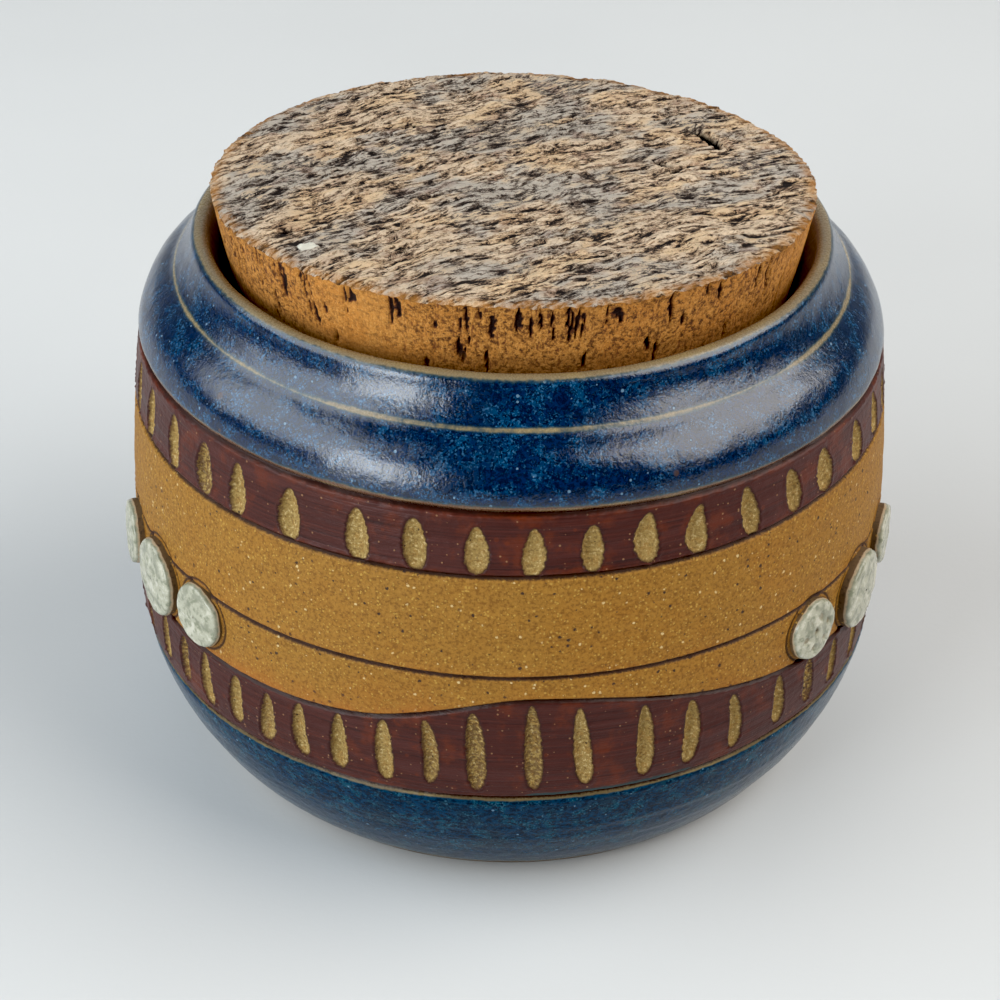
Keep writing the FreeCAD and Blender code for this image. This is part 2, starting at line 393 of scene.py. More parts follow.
def wall_band(name, low, high, material, relief, fine=(True, True)):
    """A stretch of the jar's wall between two lines round it."""
    azimuth = np.linspace(-180, 180, COLUMNS, endpoint=False)
    places = spread_rows(ROWS[name], *fine)
    azimuth, places = np.meshgrid(azimuth, places)
    height = low(azimuth) + (high(azimuth) - low(azimuth)) * places
    radius = wall_radius(height)
    raised, values = relief(azimuth, height)
    ring = disc_edge(azimuth, height)
    raised = raised - 0.28 * bell(ring - DISC_RING, 0.28)
    x, y = plan(azimuth, radius)
    for deep, wide, tall in THROWING:
        raised = raised + deep * hand(x / wide, y / wide, height / tall)
    raised = raised + 0.035 * grain.layered(x * 0.8, y * 0.8, height * 0.8)
    for line, width, depth, burr, seed in LINES:
        raised = raised + groove(height - line(azimuth), azimuth, width, depth, burr, seed)
    slope = wall_slope(height)
    size = np.sqrt(1 + slope ** 2)
    values["disc_ring"] = ring
    return band(name, azimuth, radius + raised / size, height - raised * slope / size, material,
                values)


# ================ materials ================

class Value:
    """An output inside a material. Arithmetic on it adds Math nodes."""

    def __init__(self, build, socket):
        self.build, self.socket = build, socket

    def __add__(self, other):
        return self.build.math("ADD", self, other)

    def __sub__(self, other):
        return self.build.math("SUBTRACT", self, other)

    def __rsub__(self, other):
        return self.build.math("SUBTRACT", other, self)

    def __mul__(self, other):
        return self.build.math("MULTIPLY", self, other)

    def __truediv__(self, other):
        return self.build.math("DIVIDE", self, other)

    def __abs__(self):
        return self.build.math("ABSOLUTE", self)

    def most(self, other):
        return self.build.math("MAXIMUM", self, other)

    def step(self, low, high):
        """0 at low and 1 at high, smooth between and level beyond; low may be the larger."""
        node = self.build.node("MapRange", {"interpolation_type": "SMOOTHSTEP"},
                               {"Value": self, "From Min": min(low, high),
                                "From Max": max(low, high), "To Min": float(low > high),
                                "To Max": float(low <= high)})
        return Value(self.build, node.outputs["Result"])

    __radd__ = __add__
    __rmul__ = __mul__


class Material:
    """A procedural material, built from one Principled shader."""

    def __init__(self, name):
        self.data = bpy.data.materials.new(name)
        self.data.use_nodes = True
        self.tree = self.data.node_tree
        self.tree.nodes.clear()
        self.shader = self.node("BsdfPrincipled")
        self.node("OutputMaterial", values={"Surface": self.shader.outputs[0]})
        coordinates = self.node("TexCoord")
        self.place = self.node("VectorMath", {"operation": "SCALE"},
                               {0: coordinates.outputs["Object"], "Scale": 1 / MM}).outputs[0]

    def node(self, kind, settings=None, values=None):
        node = self.tree.nodes.new("ShaderNode" + kind)
        for key, value in (settings or {}).items():
            setattr(node, key, value)
        for key, value in (values or {}).items():
            self.give(node.inputs[key], value)
        return node

    def give(self, socket, value):
        value = getattr(value, "socket", value)
        if isinstance(value, bpy.types.NodeSocket):
            self.tree.links.new(value, socket)
        elif isinstance(value, tuple) and len(value) == 3 and socket.type == "RGBA":
            socket.default_value = (*value, 1.0)
        else:
            socket.default_value = value

    def math(self, kind, *terms):
        node = self.node("Math", {"operation": kind}, dict(enumerate(terms)))
        return Value(self, node.outputs[0])

    def attribute(self, name):
        node = self.node("Attribute", {"attribute_name": name})
        return Value(self, node.outputs["Fac"])

    def axes(self):
        parts = self.node("SeparateXYZ", values={0: self.place})
        return [Value(self, parts.outputs[i]) for i in range(3)]

    def vector(self, x, y, z):
        return self.node("CombineXYZ", values={0: x, 1: y, 2: z}).outputs[0]

    def noise(self, size, detail=2.0, rough=0.5, stretch=(1, 1, 1), distort=0.0, place=None):
        """Noise from 0 to 1 whose cells are size mm across, longer where stretch is over 1."""
        at = self.node("VectorMath", {"operation": "MULTIPLY"},
                       {0: place or self.place, 1: tuple(1 / (size * s) for s in stretch)})
        node = self.node("TexNoise", values={"Vector": at.outputs[0], "Scale": 1.0,
                                             "Detail": detail, "Roughness": rough,
                                             "Distortion": distort})
        return Value(self, node.outputs["Fac"])

    def specks(self, spacing, share, radius, torn=0.0):
        """Grains of up to radius mm, one in each of a share of the cells, spacing mm across."""
        at = self.node("VectorMath", {"operation": "SCALE"}, {0: self.place, "Scale": 1 / spacing})
        cells = self.node("TexVoronoi", values={"Vector": at.outputs[0], "Scale": 1.0})
        parts = self.node("SeparateColor", values={0: cells.outputs["Color"]})
        chosen = Value(self, parts.outputs[0]).step(share, share * 0.97)
        size = Value(self, parts.outputs[1]) * (0.7 * radius / spacing) + 0.3 * radius / spacing
        inside = (Value(self, cells.outputs["Distance"]) / size + torn).step(1.15, 0.75)
        return chosen * inside

    def mix(self, share, first, second):
        node = self.node("Mix", {"data_type": "RGBA"}, {0: share, 6: first, 7: second})
        return Value(self, node.outputs[2])

    def paint(self, first, *layers):
        """Colours laid over each other: each layer is (share, colour)."""
        colour = first
        for share, over in layers:
            colour = self.mix(share, colour, over)
        return colour

    def bump(self, height, distance, strength=1.0):
        values = {"Height": height, "Distance": distance * MM, "Strength": strength}
        return Value(self, self.node("Bump", values=values).outputs[0])

    def finish(self, colour, rough, normal, gloss=0.5):
        for key, value in (("Base Color", colour), ("Roughness", rough), ("Normal", normal),
                           ("Specular IOR Level", gloss)):
            self.give(self.shader.inputs[key], value)
        return self.data


CLAY = (0.265, 0.123, 0.0160)
CLAY_WARM = (0.279, 0.104, 0.0071)
CLAY_DARK = (0.144, 0.055, 0.0044)
CLAY_PALE = (0.344, 0.169, 0.025)
CLAY_LIGHT = (0.521, 0.305, 0.060)
CLAY_WHITE = (0.700, 0.540, 0.270)
CLAY_IRON = (0.035, 0.016, 0.010)
CLAY_RUST = (0.33, 0.105, 0.014)


def clay_layers(m):
    """Bare speckled stoneware: its colour and its height."""
    broad = m.noise(14, 3, 0.6)
    fine = m.noise(0.55, 3, 0.7)
    rings = m.noise(1.0, 3, 0.6, stretch=(14, 14, 0.8))
    torn = (m.noise(0.22, 2, 0.7) - 0.5) * 2.2
    pale = m.specks(0.50, 0.42, 0.24, torn)
    white = m.specks(1.15, 0.24, 0.27, torn)
    iron = m.specks(1.20, 0.27, 0.31, torn)
    colour = m.paint(CLAY,
                     (broad.step(0.4, 0.75) * 0.40, CLAY_WARM),
                     (rings.step(0.42, 0.7) * 0.25, CLAY_PALE),
                     (fine.step(0.51, 0.60) * 0.65, CLAY_DARK),
                     (fine.step(0.47, 0.39) * 0.55, CLAY_PALE),
                     (pale * 0.60, CLAY_LIGHT),
                     (white * 0.70, CLAY_WHITE),
                     (iron * 0.95, CLAY_IRON))
    height = fine * 0.5 + pale * 0.3 + rings * 0.3 - iron * 0.3
    return colour, height


# Colour of the painted shade in the carved lines and in the grooves round the discs.
LINE_SHADE = (0.030, 0.010, 0.006)


def paint_line_shade(m, colour, width):
    """Paints shade into the bottom of a carved line, width mm to each side."""
    wobble = (m.noise(0.45, 3, 0.7) - 0.5) * 0.55
    away = abs(m.attribute("line")) + wobble
    return m.mix(away.step(width, width * 0.35) * 0.95, colour, LINE_SHADE)


def field_clay():
    m = Material("field clay")
    colour, height = clay_layers(m)
    rust = m.attribute("rust") * (m.noise(7, 3).step(0.3, 0.6) * 0.6 + 0.4)
    colour = m.mix(rust * 0.75, colour, CLAY_RUST)
    # Painted shade: a dark line in the pressed groove round each disc, and darker clay where the wall
    # meets a disc.
    ring = abs(m.attribute("disc_ring") - DISC_RING) + (m.noise(0.6) - 0.5) * 0.2
    colour = m.mix(ring.step(0.34, 0.12) * 0.85, colour, LINE_SHADE)
    near = m.attribute("disc_ring").step(0.8, 0.0)
    colour = m.mix(near * 0.45, colour, CLAY_DARK)
    colour = paint_line_shade(m, colour, 0.56)
    return m.finish(colour, height * 0.15 + 0.58, m.bump(height, 0.20), gloss=0.3)


SLIP = (0.049, 0.0100, 0.0062)
SLIP_LIGHT = (0.078, 0.0174, 0.0106)
SLIP_DARK = (0.021, 0.0049, 0.0035)
SLIP_GREY = (0.067, 0.0180, 0.0141)
SLIP_RUST = (0.138, 0.024, 0.0041)
SLIP_TEAL = (0.020, 0.048, 0.050)
SLIP_DUST = (0.36, 0.19, 0.09)
GOUGE_PALE = (0.352, 0.230, 0.073)
GOUGE_WARM = (0.352, 0.187, 0.043)
GOUGE_EDGE = (0.153, 0.086, 0.028)


def slip_layers(m):
    """Brushed brown slip: its colour, its height and its brush marks."""
    streak = m.noise(1.0, 4, 0.65, stretch=(22, 22, 0.42))
    wide = m.noise(1.0, 3, 0.6, stretch=(26, 26, 2.0))
    blotch = m.noise(6, 4, 0.65)
    dust = m.specks(0.8, 0.26, 0.20)
    rusty = m.specks(1.7, 0.18, 0.45)
    colour = m.paint(SLIP,
                     (streak.step(0.5, 0.66) * 0.75, SLIP_LIGHT),
                     (streak.step(0.46, 0.34) * 0.75, SLIP_DARK),
                     (wide.step(0.5, 0.66) * 0.6, SLIP_GREY),
                     (blotch.step(0.50, 0.66) * 0.45, SLIP_RUST),
                     (rusty * 0.4, SLIP_RUST),
                     (dust * 0.6, SLIP_DUST))
    thin = m.attribute("edge").step(1.5, 0.1) * m.noise(3.2, 3).step(0.42, 0.66)
    colour = m.mix(thin * 0.65, colour, SLIP_RUST)
    smear = (m.attribute("smear") + (m.noise(1.2, 3) - 0.5) * 0.7).step(0.35, 0.6)
    colour = m.mix(smear * 0.85, colour, SLIP_TEAL)
    height = streak * 0.6 + m.noise(0.4, 2) * 0.3 + dust * 0.3
    return colour, height, streak


def gouge_clay(m):
    """Pale clay laid bare by a gouge: its colour and its height."""
    grit = m.noise(0.48, 4, 0.72)
    lumps = m.noise(1.1, 2)
    clay = m.paint(GOUGE_PALE,
                   (lumps.step(0.5, 0.66) * 0.5, GOUGE_WARM),
                   (grit.step(0.51, 0.62) * 0.65, GOUGE_EDGE),
                   (grit.step(0.45, 0.36) * 0.65, CLAY_WHITE),
                   (m.specks(1.1, 0.2, 0.26) * 0.9, CLAY_IRON))
    return clay, grit * 2.2 + lumps


def band_slip():
    """Brown slip, cut away to pale clay in the gouges."""
    m = Material("brown slip")
    colour, height, streak = slip_layers(m)
    clay, clay_height = gouge_clay(m)
    away = m.attribute("gouge")
    torn = (m.noise(0.45, 3, 0.7) - 0.5) * 0.5
    inside = (away + torn).step(0.06, -0.10)
    left_over = m.noise(0.7, 2, stretch=(1, 1, 0.8)).step(0.42, 0.58)
    inside = inside * (1 - m.attribute("skim") * left_over)
    rim = (away + torn).step(0.55, 0.12) * (1 - inside)
    colour = m.mix(rim * 0.35, colour, SLIP_DARK)
    shade = (away + torn * 1.4).step(-0.05, -0.42)
    clay = m.mix(1 - shade, clay, GOUGE_EDGE)
    colour = m.mix(inside, colour, clay)
    normal = m.bump(height * (1 - inside) + clay_height * inside, 0.18)
    colour = paint_line_shade(m, colour, 0.62)
    return m.finish(colour, 0.42 + inside * 0.25 + (streak - 0.5) * 0.3, normal, gloss=0.26)


GLAZE_MILK = (0.22, 0.38, 0.52)
GLAZE_NIGHT = (0.0015, 0.005, 0.014)
GLAZE_BROWN = (0.085, 0.045, 0.025)
GLAZE_OCHRE = (0.27, 0.20, 0.085)
GLAZE_FRINGE = (0.030, 0.058, 0.062)
INNER_REFLECTION = (0.165, 0.130, 0.140)
FOOT_BROWN = (0.105, 0.070, 0.040)
FOOT_DARK = (0.030, 0.018, 0.011)


def blue_glaze(name, deep, mid, pale, teal, haze, thin_clay, edge_clay, gloss, drag):
    """A floating blue that breaks to tan where it is thin (attribute thin, 0 to 1)."""
    m = Material(name)
    big = m.noise(9, 3, 0.6)
    cloud = m.noise(3.0, 4, 0.65)
    small = m.noise(0.62, 3, 0.75, stretch=(drag, drag, 1))
    dots = m.noise(0.34, 2, 0.6)
    flecks = m.specks(0.60, 0.34, 0.24)
    bright = m.specks(1.3, 0.22, 0.26)
    brown = m.specks(5.0, 0.16, 0.7)
    colour = m.paint(deep,
                     (small.step(0.44, 0.58) * 0.9, mid),
                     (cloud.step(0.48, 0.62) * small.step(0.42, 0.56) * 0.85, teal),
                     (big.step(0.52, 0.66) * small.step(0.40, 0.6) * 0.55, haze),
                     (dots.step(0.55, 0.66) * cloud.step(0.40, 0.58) * 0.55, pale),
                     (small.step(0.42, 0.33) * 0.7, GLAZE_NIGHT),
                     (flecks * cloud.step(0.38, 0.6) * 0.5, pale),
                     (bright * 0.45, GLAZE_MILK),
                     (brown * 0.6, GLAZE_BROWN))
    thin = m.attribute("thin") + (m.noise(1.1, 4, 0.7) - 0.5) * 0.55
    shell = thin.step(0.34, 0.62)
    fringe = thin.step(0.14, 0.45)
    thin_clay = m.mix(m.attribute("line").step(3.0, 1.5), thin_clay, edge_clay)
    streaky = m.noise(1.0, 3, 0.6, stretch=(9, 9, 0.5))
    tan = m.paint(thin_clay, (streaky.step(0.45, 0.7) * 0.6, GLAZE_OCHRE),
                  (small.step(0.5, 0.75) * 0.4, GLAZE_BROWN))
    colour = m.paint(colour, (fringe * 0.75, GLAZE_FRINGE), (shell * 0.95, tan))
    # Painted reflection of the cork on the inner bevel of the mouth, kept light against the shade of
    # the gap.
    inner = (m.attribute("inner") + (m.noise(2.4, 3) - 0.5) * 0.8).step(0.35, 0.75)
    colour = m.mix(inner * 0.75, colour, INNER_REFLECTION)
    bare = m.attribute("bare") + (m.noise(0.8, 3) - 0.5) * 0.3
    clay = m.mix(small.step(0.45, 0.6) * 0.6, FOOT_BROWN, FOOT_DARK)
    open_clay = bare.step(0.35, 0.6)
    colour = m.mix(open_clay, colour, clay)
    colour = paint_line_shade(m, colour, 0.42)
    skin = m.noise(1.6, 2, 0.5) * 0.6 + small * 0.5 + dots * 0.25 - bright * 0.2
    normal = m.bump(skin, 0.11, 0.9)
    rough = 0.15 + (dots - 0.5) * 0.25 + shell * 0.12 + open_clay * 0.4
    return m.finish(colour, rough.most(0.06), normal, gloss)


# Clay of the foot, darkened by a painted contact shadow.
FOOT_SHADOWED_CLAY = (0.050, 0.029, 0.015)


def foot_clay():
    m = Material("foot clay")
    colour, height = clay_layers(m)
    worn = m.noise(9, 4, 0.6)
    # Painted shadow: the foot ring is darkened all round as a contact shadow, with darker patches in
    # it.
    colour = m.paint(colour, (0.75, FOOT_SHADOWED_CLAY), (worn.step(0.5, 0.66) * 0.5, CLAY_DARK))
    return m.finish(colour, 0.7, m.bump(height, 0.15, 0.8))


BARK_TAN = (0.44, 0.305, 0.195)
BARK_WARM = (0.54, 0.345, 0.185)
BARK_GREY = (0.205, 0.187, 0.168)
BARK_LIGHT = (0.84, 0.660, 0.475)
BARK_SILVER = (0.53, 0.485, 0.43)
BARK_GOLD = (0.84, 0.58, 0.31)
BARK_RED = (0.27, 0.120, 0.085)
BARK_BROWN = (0.105, 0.066, 0.044)
BARK_BLACK = (0.016, 0.010, 0.008)
CHIP_WHITE = (0.88, 0.85, 0.74)


def bark_top():
    m = Material("cork bark")
    along, across = m.attribute("along"), m.attribute("across")
    lie = m.vector(along, across, m.axes()[2] * 0.6)
    fibre = m.noise(1.0, 4, 0.72, stretch=(3.4, 1.05, 1.0), distort=0.6, place=lie)
    thread = m.noise(1.0, 3, 0.70, stretch=(2.1, 0.55, 0.6), distort=0.8, place=lie)
    curl = m.noise(0.6, 3, 0.75, distort=0.8)
    patch = m.noise(13, 4, 0.6, stretch=(1.5, 1.0, 1.0), place=lie)
    warm = m.noise(7, 3, 0.6, stretch=(2.0, 1.0, 1.0), place=lie)
    relief = m.attribute("relief")
    level = relief * 0.45 + (fibre - 0.5) * 3.6 + (thread - 0.5) * 2.0 + (curl - 0.5) * 1.3
    colour = m.paint(BARK_TAN,
                     (warm.step(0.46, 0.60) * 0.75, BARK_WARM),
                     (patch.step(0.45, 0.57) * 0.90, BARK_GREY),
                     (level.step(0.05, 0.40) * 0.95, BARK_LIGHT),
                     ((level.step(0.08, 0.40) * patch.step(0.44, 0.56)) * 0.85, BARK_SILVER),
                     ((level.step(0.1, 0.45) * warm.step(0.50, 0.60)) * 0.55, BARK_GOLD),
                     (m.noise(4.5, 3).step(0.55, 0.68) * 0.30, BARK_RED),
                     (level.step(0.02, -0.18) * 0.92, BARK_BROWN),
                     (level.step(-0.18, -0.40), BARK_BLACK))
    colour = m.mix(m.attribute("edge").step(2.6, 0.3) * m.noise(1.5, 3).step(0.3, 0.6) * 0.65,
                   colour, CORK_GOLD)
    colour = m.mix(m.attribute("crack").step(0.10, 0.45), colour, BARK_BLACK)
    colour = m.mix(m.attribute("chip").step(0.35, 0.6), colour, CHIP_WHITE)
    height = fibre + thread * 0.7 + curl * 0.4
    return m.finish(colour, 0.88, m.bump(height, 1.5), gloss=0.25)


CORK_GOLD = (0.536, 0.230, 0.046)
CORK_ORANGE = (0.479, 0.173, 0.025)
CORK_PALE = (0.707, 0.367, 0.106)
CORK_BROWN = (0.21, 0.078, 0.014)
CORK_DARK = (0.065, 0.020, 0.007)
CORK_RUST = (0.120, 0.030, 0.010)
PIT_DARK = (0.022, 0.009, 0.006)


def cork_side():
    m = Material("cork side")
    broad = m.noise(11, 3, 0.6)
    cells = m.noise(0.75, 4, 0.75)
    grit = m.noise(0.32, 3, 0.7)
    layer = m.noise(1.0, 3, 0.6, stretch=(9, 9, 0.7))
    tears = m.noise(1.0, 3, 0.65, stretch=(0.5, 0.5, 2.2))
    rough_share = m.attribute("rugged")
    colour = m.paint(CORK_GOLD,
                     (broad.step(0.44, 0.60) * 0.5, CORK_ORANGE),
                     (layer.step(0.5, 0.66) * 0.30, CORK_BROWN),
                     (grit.step(0.50, 0.38) * 0.5, CORK_PALE),
                     (cells.step(0.46, 0.58) * (rough_share * 0.80 + 0.12), CORK_BROWN),
                     (cells.step(0.55, 0.65) * (rough_share * 0.85 + 0.05), CORK_DARK),
                     (tears.step(0.56, 0.66) * rough_share * 0.8, CORK_RUST),
                     (m.noise(1.7, 5, 0.78).step(0.55, 0.64) * rough_share * 0.7, CORK_BROWN))
    pit = m.attribute("pit") + (m.noise(0.5, 3, 0.7) - 0.5) * 0.6
    colour = m.paint(colour, (pit.step(0.25, 0.5) * 0.9, CORK_RUST), (pit.step(0.42, 0.72), PIT_DARK))
    colour = m.mix(m.attribute("below").step(0.0, 1.0) * 0.35, colour, CORK_BROWN)
    height = grit * 0.3 - cells * (rough_share * 0.8 + 0.2) - tears * 0.3
    return m.finish(colour, 0.78, m.bump(height, 0.55), gloss=0.3)


DISC_PALE = (0.373, 0.365, 0.276)
DISC_GREY = (0.218, 0.219, 0.156)
DISC_WHITE = (0.543, 0.519, 0.421)
DISC_GREEN = (0.165, 0.178, 0.111)
DISC_HOLLOW = (0.19, 0.15, 0.08)
DISC_TAN = (0.42, 0.30, 0.18)
# Bare clay side of the discs, its colour darkened partly as painted shade.
SIDE_CLAY_SHADED = (0.120, 0.068, 0.026)
SIDE_DARK = (0.035, 0.019, 0.010)


def disc_glaze():
    m = Material("disc glaze")
    cloud = m.noise(2.2, 4, 0.65)
    fine = m.noise(0.6, 3, 0.65)
    face = m.attribute("face") + (m.noise(0.9, 3) - 0.5) * 0.35
    dimple = m.attribute("dimple")
    glaze = m.paint(DISC_PALE,
                    (cloud.step(0.48, 0.60) * 0.75, DISC_GREY),
                    (cloud.step(0.46, 0.36) * 0.8, DISC_WHITE),
                    (m.noise(1.1, 3).step(0.54, 0.66) * 0.55, DISC_GREEN),
                    (m.attribute("face").step(0.97, 0.80) * 0.4, DISC_GREEN),
                    (dimple.step(0.28, 0.6) * 0.7, DISC_HOLLOW),
                    (m.specks(1.6, 0.10, 0.22) * 0.7, CLAY_IRON))
    # Side wall: bare clay, partly darkened as painted shade.
    clay = m.paint(SIDE_CLAY_SHADED, (fine.step(0.5, 0.7) * 0.7, SIDE_DARK),
                   (m.specks(0.9, 0.2, 0.3) * 0.7, CLAY_LIGHT))
    colour = m.paint(clay, (face.step(0.40, 0.60), DISC_TAN), (face.step(0.56, 0.74), glaze))
    covered = face.step(0.5, 0.7)
    rough = 0.7 - covered * 0.46 + (fine - 0.5) * 0.1
    return m.finish(colour, rough, m.bump(m.noise(1.3, 2) * 0.6 + fine * 0.4, 0.12, 0.8))


# ================ the jar ================

def slip_band(name, low, high, gouges, toe, head, more):
    """A band of slip. Its gouges stop toe mm above the low line and head mm below the high one."""
    def relief(azimuth, height):
        above, below = height - low(azimuth), high(azimuth) - height
        line = np.minimum(below, above)
        raised, away, skim = gouges.cut(azimuth, height, lambda a: low(a) + toe,
                                        lambda a: high(a) - head)
        return raised, {"gouge": np.clip(away, -2, 3), "line": line, "skim": skim,
                        **more(azimuth, above, line)}
    return wall_band(name, low, high, slip, relief)


def upper_band():
    return slip_band("upper_band", upper_low_line, neck_line, upper_gouges, 0.35, 1.8,
                     lambda azimuth, above, line: {"edge": line})


SMEAR_FROM, SMEAR_TO = 2.0, 31.0         # azimuths of a smear of base glaze on the lower band
SMEAR_RISE, SMEAR_WIDTH = 0.75, 0.42


def lower_band():
    def smeared(azimuth, above, line):
        started = smooth(SMEAR_FROM, SMEAR_FROM + 3, azimuth)
        ended = smooth(SMEAR_TO, SMEAR_TO - 6, azimuth)
        return {"edge": above, "smear": bell(above - SMEAR_RISE, SMEAR_WIDTH) * started * ended}
    return slip_band("lower_band", lower_low_line, hump_line, lower_gouges, 2.3, 1.0, smeared)


def upper_field():
    def relief(azimuth, height):
        line = np.minimum(height - field_line(azimuth), upper_low_line(azimuth) - height)
        rust = 0.6 * np.exp(-(height - field_line(azimuth)) / 0.8)
        return 0.0 * height, {"line": line, "rust": rust}
    return wall_band("upper_field", field_line, upper_low_line, field, relief)


def lower_field():
    def relief(azimuth, height):
        above = height - hump_line(azimuth)
        line = np.minimum(above, field_line(azimuth) - height)
        side = smooth(-4, -14, wrap(azimuth)) * smooth(-62, -40, wrap(azimuth))
        side = side + smooth(0.1, 0.5, around(azimuth, 0.5, 70.0)) * 0.4
        rust = np.exp(-above / 2.2) * (0.25 + 0.85 * side) + 0.3 * np.exp(-above / 0.6)
        return 0.0 * height, {"line": line, "rust": rust}
    return wall_band("lower_field", hump_line, field_line, field, relief)


def base_glaze():
    def relief(azimuth, height):
        below = lower_low_line(azimuth) - height
        above = height - FOOT_TOP[1]
        uneven = 0.5 * around(azimuth, 0.18, 80.0)
        thin = bell(np.clip(below - 0.25, 0, None), 0.32 + uneven * 0.35)
        thin = np.maximum(thin, 0.9 * bell(above, 2.5 + uneven))
        bare = smooth(1.9 + uneven, 1.0 + uneven * 0.5, above)
        glaze = 0.16 * smooth(0.5, 1.4, below) * smooth(0.6, 1.4, above)
        return glaze, {"line": below, "thin": thin, "bare": bare}

    def foot_top(azimuth):
        return FOOT_TOP[1] + 0 * azimuth
    return wall_band("base_glaze", foot_top, lower_low_line, base_blue, relief, (False, True))


RIM_STARTS = (76.5, 77.5, 78.5)          # heights on the wall, below the carved line


def rim_outline():
    """The line from the wall over the shoulder, ridge, collar and crest into the mouth."""
    outline = [(wall_radius(height), height) for height in RIM_STARTS]
    outline += arc_points(NECKLINE, SHOULDER, UNDER_RIDGE, 30).tolist()
    outline += [RIDGE]
    outline += arc_points(RIDGE, COLLAR, CREST_OUT, 20).tolist()[1:]
    outline += arc_points(CREST_OUT, CREST, CREST_IN, 20).tolist()[1:]
    outline += [THROAT, GAP_FLOOR]
    return run(outline, soften=0.30)


def rim_glaze():
    """The shoulder, the ridge, the collar, the crest and the funnel of the mouth."""
    outline = rim_outline()
    length = STEP * np.arange(len(outline))
    top = length[np.argmax(outline[:, 1])]
    ridge = length[np.argmin(np.hypot(outline[:, 0] - RIDGE[0], outline[:, 1] - RIDGE[1]))]
    azimuth = np.linspace(-180, 180, COLUMNS, endpoint=False)
    rising = length < top
    start = np.interp(neck_line(azimuth), outline[rising, 1], length[rising])
    places = spread_rows(ROWS["rim_glaze"], True, False, 8, 0.004)
    azimuth, places = np.meshgrid(azimuth, places)
    along = start + (length[-1] - start) * places
    radius = np.interp(along, length, outline[:, 0])
    height = np.interp(along, length, outline[:, 1])
    lean_r, lean_z = np.gradient(outline[:, 0], STEP), np.gradient(outline[:, 1], STEP)
    out_r, out_z = np.interp(along, length, lean_z), -np.interp(along, length, lean_r)
    above = along - start
    x, y = plan(azimuth, radius)
    _, width, depth, _, seed = LINES[0]
    raised = groove(above, azimuth, width, depth, 0.0, seed)
    raised = raised + 0.20 * smooth(0.5, 1.3, above + 0.3 * around(azimuth, 0.08, 90.0))
    raised = raised + 0.14 * hand(x / 22, y / 22, along / 5) + 0.05 * hand(x / 5, y / 5, along / 3)
    uneven = around(azimuth, 0.22, 95.0)
    thin = np.maximum.reduce([
        bell(along - top - 0.1, 1.20 + 0.2 * uneven) * 1.05,
        bell(along - ridge, 0.55 + 0.15 * uneven) * (0.66 + 0.40 * uneven),
        bell(np.clip(above - 0.35, 0, None), 0.95 + 0.5 * uneven)])
    inner = smooth(top + 1.0, top + 3.0, along)
    thin = np.maximum(thin, inner * (0.10 + 0.10 * uneven))
    # Share of the painted reflection of the cork, on the inner bevel of the mouth.
    funnel = smooth(top + 0.7, top + 1.4, along) * (1.1 - 0.5 * smooth(top + 2, top + 6, along))
    return band("rim_glaze", azimuth, radius + raised * out_r, height + raised * out_z, blue,
                {"thin": thin, "line": above, "bare": 0 * above, "inner": funnel})


def foot():
    """The bare underside, with faint trimming rings, and the bevel above it."""
    flat = np.linspace(0.02, FOOT[0] - 0.8, ROWS["foot"])
    rings = np.concatenate([flat, [FOOT[0], FOOT_BEVEL[0], FOOT_TOP[0] + 0.05]])
    heights = np.concatenate([0 * flat, [0.12, FOOT_BEVEL[1], FOOT_TOP[1] + 0.05]])
    azimuth, radius = np.meshgrid(np.linspace(-180, 180, COLUMNS // 4, endpoint=False), rings)
    height = np.broadcast_to(heights[:, None], radius.shape)
    trimmed = 0.10 * (1 + np.sin(radius * 2.6)) * smooth(FOOT[0] - 1, FOOT[0] - 5, radius)
    piece = band("foot", azimuth, radius, height + trimmed, foot_bare)
    piece.data.flip_normals()
    return piece


# ================ the cork ================

def cork_edge(azimuth):
    """Radius of the cork's upper edge, and how far its torn rim stands out of the taper."""
    height = CORK_TOP_Z + CORK_TOP_R * np.cos(np.radians(azimuth)) * CORK_SLOPE
    radius = CORK_TOP_R + (height - CORK_TOP_Z) * CORK_TAPER
    ragged = (0.30 * around(azimuth, 0.035, 3.0, chatter) + 0.22 * around(azimuth, 0.012, 7.0, chatter)
              + 0.25 * around(azimuth, 0.3, 11.0))
    return radius + ragged, ragged


def grain_lines(x, y):
    """Distance along and across the bark's fibres, which fan out from left to right."""
    lean, fan = 0.68, 0.0026
    size = math.hypot(1, lean)
    bent = y - lean * x + fan * x * x
    wander = 1.6 * hand(x / 16, y / 16, 3.0)
    return (x + lean * y) / size, bent / size + wander


CRACKS = (                     # x, y, length, width, direction in degrees, depth
    (32.5, 18.5, 13.0, 2.8, -64.0, 2.8),
    (27.0, 4.5, 6.5, 2.0, 62.0, 2.4),
    (24.6, 6.5, 4.5, 1.7, -40.0, 2.0),
    (-4.0, 22.0, 6.5, 1.6, 48.0, 1.8),
    (-18.0, 20.5, 7.0, 1.2, 8.0, 1.4),
    (12.0, 26.0, 6.0, 1.2, 10.0, 1.2),
    (-35.5, -24.5, 3.0, 1.6, 45.0, 2.0),
)
CHIP = (-31.2, -30.6, 1.5, 0.8)  # x, y, half length, half width of a pale chip
CHIP_COS, CHIP_SIN = 0.85, 0.53  # cosine and sine of its turn


def crack_holes(x, y):
    """Each crack's depth and, from 0 to 1, where it is open."""
    for cx, cy, size, width, way, depth in CRACKS:
        c, s = math.cos(math.radians(way)), math.sin(math.radians(way))
        p, q = (x - cx) * c + (y - cy) * s, -(x - cx) * s + (y - cy) * c
        q = q + 0.35 * width * chatter.layered(p / 2.6, cx, cy)
        yield depth, smooth(1.0, 0.25, np.hypot(p / (size / 2), q / (width / 2)))


